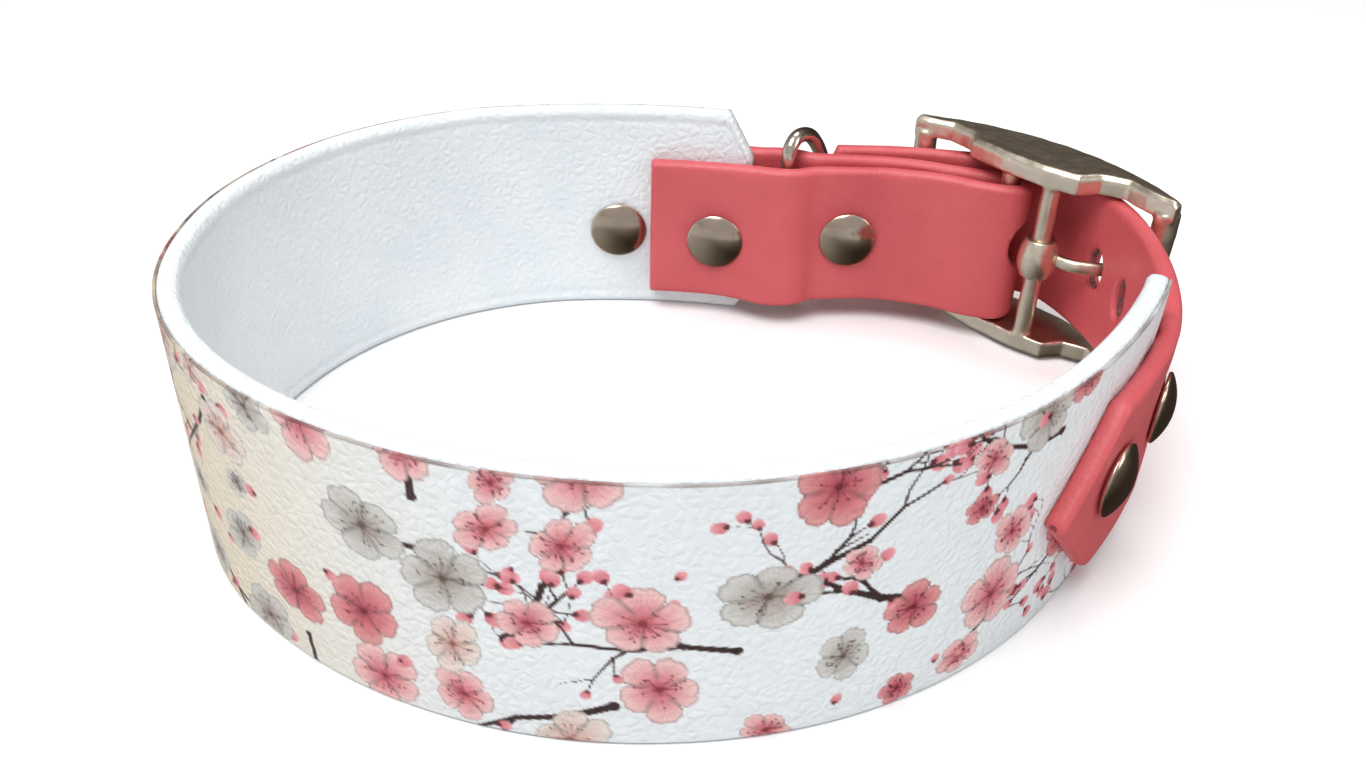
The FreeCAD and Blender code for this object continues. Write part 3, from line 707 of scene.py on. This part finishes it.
def spool(radius, half, flare):
    """Profile of a cutter whose mouth widens at both faces, so that its cut has rounded rims."""
    points = [(0.0, -half - 4.0), (radius + flare, -half - 4.0)]
    for k in range(9):
        a = math.pi / 2.0 * k / 8.0
        points.append((radius + flare * (1.0 - math.sin(a)), -half + flare * (1.0 - math.cos(a))))
    points += [(r, -h) for r, h in reversed(points[2:])]
    return points + [(radius + flare, half + 4.0), (0.0, half + 4.0)]


def cut_with(obj, cutter):
    """Cuts the cutter out of the object and removes it."""
    step = obj.modifiers.new("cut", "BOOLEAN")
    step.operation, step.object, step.solver = "DIFFERENCE", cutter, "EXACT"
    bpy.context.view_layer.objects.active = obj
    bpy.ops.object.modifier_apply(modifier=step.name)
    bpy.data.objects.remove(cutter)
    obj.data.polygons.foreach_set("use_smooth", [True] * len(obj.data.polygons))


EDGE = 1.15            # radius of the straps' rounded edges


def chape_lift(s):
    """The fold is a little askew: the inner leg lies low, the outer one climbs to its end."""
    low_leg = 1.0 - smooth_step(s / FOLD_START)
    return -0.55 * low_leg + 0.8 * smooth_step((s - FOLD_START - 10.0) / 30.0)


def chape_lean(s, z):
    """The inner leg's lower edge bulges to the neck side where the ring's bar lifts it."""
    down = np.clip(1.0 - (z - CHAPE_MIDDLE + STRAP_WIDTH / 2.0) / STRAP_WIDTH, 0.0, 1.0)
    bulge = np.exp(-((s - INNER_LAP - 4.5) / 6.5) ** 2)
    return -1.7 * bulge * down ** 1.6 - 0.4 * down * (1.0 - smooth_step((s - 30.0) / 10.0))


def chape_strip(inset, half, **shape):
    """The chape, or its core inset by some millimetres."""
    def low(s):
        return CHAPE_MIDDLE + chape_lift(s) - (STRAP_WIDTH / 2.0 - inset)

    def high(s):
        return CHAPE_MIDDLE + chape_lift(s) + (STRAP_WIDTH / 2.0 - inset)
    return Strip(chape, 0.6, low, high, half, lean=chape_lean, **shape)


chape_piece = chape_strip(0.0, HALF_STRAP, edge=EDGE, squareness=0.8, row=0.6,
                          end_round=0.5, corner=0.5,
                          relief=strap_relief(chape, ("rivet_a", "rivet_b", "rivet_c"))
                          ).make("chape_strap", CORAL)
weave = chape_strip(STRAP_CORE_MARGIN, STRAP_CORE_HALF, edge=0.4, row=2.0).make("chape_weave", WOVEN)
turn = math.radians(FOLD_HEADING)
bite_at = bar + Vector((math.cos(turn), math.sin(turn))) * (BITE_DEPTH + BITE_RADIUS)
bite_place = Matrix(((math.cos(turn), 0, math.sin(turn), bite_at.x),
                     (math.sin(turn), 0, -math.cos(turn), bite_at.y), (0, 1, 0, PRONG_MIDDLE),
                     (0, 0, 0, 1)))
bite_outline = [(0.0, -9.0), (BITE_RADIUS, -9.0), (BITE_RADIUS, 9.0), (0.0, 9.0)]
for piece, part, slot in ((chape_piece, "coating", "strap_coating"), (weave, "core", "woven_core")):
    cut_with(piece, lathe("bite", bite_outline, bite_place, CORAL))
    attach(piece, "collar")
    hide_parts("chape_" + part)


def billet_middle(s):
    """The strap runs level and drops a little towards its tail."""
    return BILLET_MIDDLE - 1.0 * smooth_step((s - HOLE_ONE - 12.0) / 26.0)


def billet_strip(inset, half, **shape):
    """The billet with its two points, or its core inset by some millimetres."""
    def half_height(s):
        share = np.minimum(s / POINT_DEPTH, (billet.length() - s) / TAIL_DEPTH)
        full = np.minimum(STRAP_WIDTH / 2.0, share * STRAP_WIDTH / 2.0 + 0.6)
        return np.maximum(full - inset, 0.3)

    def low(s):
        return billet_middle(s) - half_height(s)

    def high(s):
        return billet_middle(s) + half_height(s)
    return Strip(billet, 0.6, low, high, half, **shape)


billet_piece = billet_strip(0.0, HALF_STRAP, edge=EDGE, squareness=0.8, row=0.6, end_round=0.5,
                            corner=0.3, relief=strap_relief(billet, ("rivet_d", "rivet_e"))
                            ).make("billet_strap", CORAL)
weave = billet_strip(STRAP_CORE_MARGIN, STRAP_CORE_HALF, edge=0.2, row=2.0).make("billet_weave", WOVEN)
for piece, part, slot in ((billet_piece, "coating", "strap_coating"), (weave, "core", "woven_core")):
    for number in range(HOLES):
        place = facing(billet, HOLE_ONE - number * HOLE_PITCH, 0.0, BILLET_MIDDLE)
        oval = place @ Matrix.Diagonal((1.0, HOLE_TALL / HOLE_WIDE, 1.0, 1.0))
        cut_with(piece, lathe("hole", spool(HOLE_WIDE / 2.0, HALF_STRAP, 0.35), oval, CORAL, 48))
    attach(piece, "collar")
    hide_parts("billet_" + part)

# ---------------------------------------------------------------- rivets


def dome(seat, up):
    """Half profile of a cap: a part of a sphere with a rolled rim, from its crown to its seat."""
    drop = CAP_RISE - CAP_LIP
    ball = (CAP_RADIUS ** 2 + drop ** 2) / (2.0 * drop)
    reach = math.asin((CAP_RADIUS - 0.12) / ball)
    points = []
    for k in range(15):
        a = reach * k / 14.0
        points.append((ball * math.sin(a), seat + up * (CAP_RISE - ball * (1.0 - math.cos(a)))))
    for k in range(1, 7):
        a = math.pi * k / 6.0
        points.append((CAP_RADIUS - 0.3 + 0.3 * math.sin(0.9 + a * 0.6),
                       seat + up * (CAP_LIP * (0.5 + 0.5 * math.cos(a)))))
    return points


for name, (place, height, gap) in RIVETS.items():
    inner = dome(-gap, -1.0) + [(POST_RADIUS, -gap), (POST_RADIUS, height), (0.0, height)]
    post = lathe(name + "_head", inner, place, RIVET)
    outer = [(0.0, height)] + dome(height, 1.0)[::-1]
    cap = lathe(name + "_top", outer, place, RIVET)
    for piece, part in ((post, "_post"), (cap, "_cap")):
        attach(piece, "collar")
        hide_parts(name + part)

# ---------------------------------------------------------------- cast pieces


def cast(node_name, name, voxel, passes, skin, unevenness):
    """A softened casting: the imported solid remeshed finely, its edges rounded, slightly uneven."""
    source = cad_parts[node_name]
    obj = bpy.data.objects.new(name, source.data.copy())
    bpy.context.scene.collection.objects.link(obj)
    bpy.context.view_layer.objects.active = obj
    remesh = obj.modifiers.new("remesh", "REMESH")
    remesh.mode, remesh.voxel_size = "VOXEL", voxel * MM
    smooth = obj.modifiers.new("smooth", "SMOOTH")
    smooth.factor, smooth.iterations = 0.5, passes
    for step in (remesh.name, smooth.name):
        bpy.ops.object.modifier_apply(modifier=step)
    mesh = obj.data
    places, normals = (np.empty(len(mesh.vertices) * 3, np.float32) for _ in range(2))
    mesh.vertices.foreach_get("co", places)
    mesh.vertices.foreach_get("normal", normals)
    wobble = [noise.noise(point * 260.0) + 0.5 * noise.noise(point * 700.0)
              for point in map(Vector, places.reshape(-1, 3))]
    places += normals * np.repeat(np.array(wobble, np.float32), 3) * unevenness * MM
    mesh.vertices.foreach_set("co", places)
    mesh.update()
    mesh.materials.clear()
    mesh.materials.append(skin)
    mesh.polygons.foreach_set("use_smooth", [True] * len(mesh.polygons))
    return obj


COARSE = 1.0
buckle = cast("buckle_frame", "cast_frame", 0.26 * COARSE, 7, CAST, 0.09)
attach(buckle, "buckle")
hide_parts("buckle_frame")
tongue = cast("prong", "cast_prong", 0.14 * COARSE, 5, CAST, 0.03)
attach(tongue, "prong")
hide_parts("prong")
ring = cast("d_ring", "wire_ring", 0.16 * COARSE, 6, WIRE, 0.03)
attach(ring, "d_ring")
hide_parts("d_ring")

# ---------------------------------------------------------------- floor, light and camera

floor_skin, _, floor_shader = material("pale_floor", 0.9)
floor_shader.inputs["Base Color"].default_value = (0.93, 0.93, 0.93, 1.0)
floor_shader.inputs["Specular IOR Level"].default_value = 0.1
floor_mesh = bpy.data.meshes.new("floor")
floor_mesh.from_pydata([(-3, -3, 0), (3, -3, 0), (3, 3, 0), (-3, 3, 0)], [], [(0, 1, 2, 3)])
floor = bpy.data.objects.new("floor", floor_mesh)
floor_mesh.materials.append(floor_skin)
bpy.context.scene.collection.objects.link(floor)
floor.visible_glossy = False     # the metal shows the darker room, not the white floor


def softbox(name, at, target, wide, tall, power):
    data = bpy.data.lights.new(name, "AREA")
    data.shape, data.size, data.size_y, data.energy = "RECTANGLE", wide, tall, power
    lamp = bpy.data.objects.new(name, data)
    lamp.location = at
    lamp.rotation_euler = (Vector(target) - Vector(at)).to_track_quat("-Z", "Y").to_euler()
    bpy.context.scene.collection.objects.link(lamp)
    return lamp


softbox("key", (-0.20, -0.25, 0.75), (0, 0, 0), 0.55, 0.45, 5.0)
softbox("top", (0.15, 0.25, 0.85), (0, 0, 0.02), 0.5, 0.3, 2.1)
softbox("right", (0.75, -0.20, 0.35), (0, 0, 0.02), 0.25, 0.5, 1.1)

world = bpy.data.worlds.new("studio")
bpy.context.scene.world = world
world.use_nodes = True
tree = world.node_tree
toward = node(tree, "ShaderNodeSeparateXYZ", {0: tree.nodes.new("ShaderNodeTexCoord").outputs["Generated"]})
ahead = math_node(tree, "MULTIPLY", toward.outputs[1], 0.6)
front = math_node(tree, "SUBTRACT", toward.outputs[2], ahead)
left = math_node(tree, "MULTIPLY", toward.outputs[0], -0.9)
lit = math_node(tree, "MULTIPLY_ADD", math_node(tree, "MAXIMUM", front, left), 0.5)
sky = ramp(tree, lit, (0.35, (0.07, 0.055, 0.045)), (0.53, (0.20, 0.175, 0.15)),
           (0.72, (0.50, 0.49, 0.47)), (0.92, (0.82, 0.83, 0.85)))
tree.links.new(sky, tree.nodes["Background"].inputs["Color"])
tree.nodes["Background"].inputs["Strength"].default_value = 0.66

PITCH, YAW, ROLL = (math.radians(a) for a in (32.9, 0.18, 1.89))
FOCAL, SENSOR, PICTURE = 1155.0, 36.0, 1366.0
forward = Vector((math.sin(YAW) * math.cos(PITCH), math.cos(YAW) * math.cos(PITCH), -math.sin(PITCH)))
level = Vector((math.cos(YAW), -math.sin(YAW), 0.0))
upward = level.cross(forward)
right = math.cos(ROLL) * level + math.sin(ROLL) * upward
above = math.cos(ROLL) * upward - math.sin(ROLL) * level
camera_data = bpy.data.cameras.new("camera")
camera_data.lens = SENSOR * FOCAL / PICTURE
camera_data.sensor_width = SENSOR
camera_data.clip_start, camera_data.clip_end = 0.005, 20.0
camera = bpy.data.objects.new("camera", camera_data)
eye = Vector((0.65 - ORIGIN[0], -143.9 - ORIGIN[1], 106.8)) * MM
camera.matrix_world = Matrix.Translation(eye) @ Matrix((right, above, -forward)).transposed().to_4x4()
bpy.context.scene.collection.objects.link(camera)
bpy.context.scene.camera = camera
bpy.context.scene.view_settings.view_transform = "Standard"
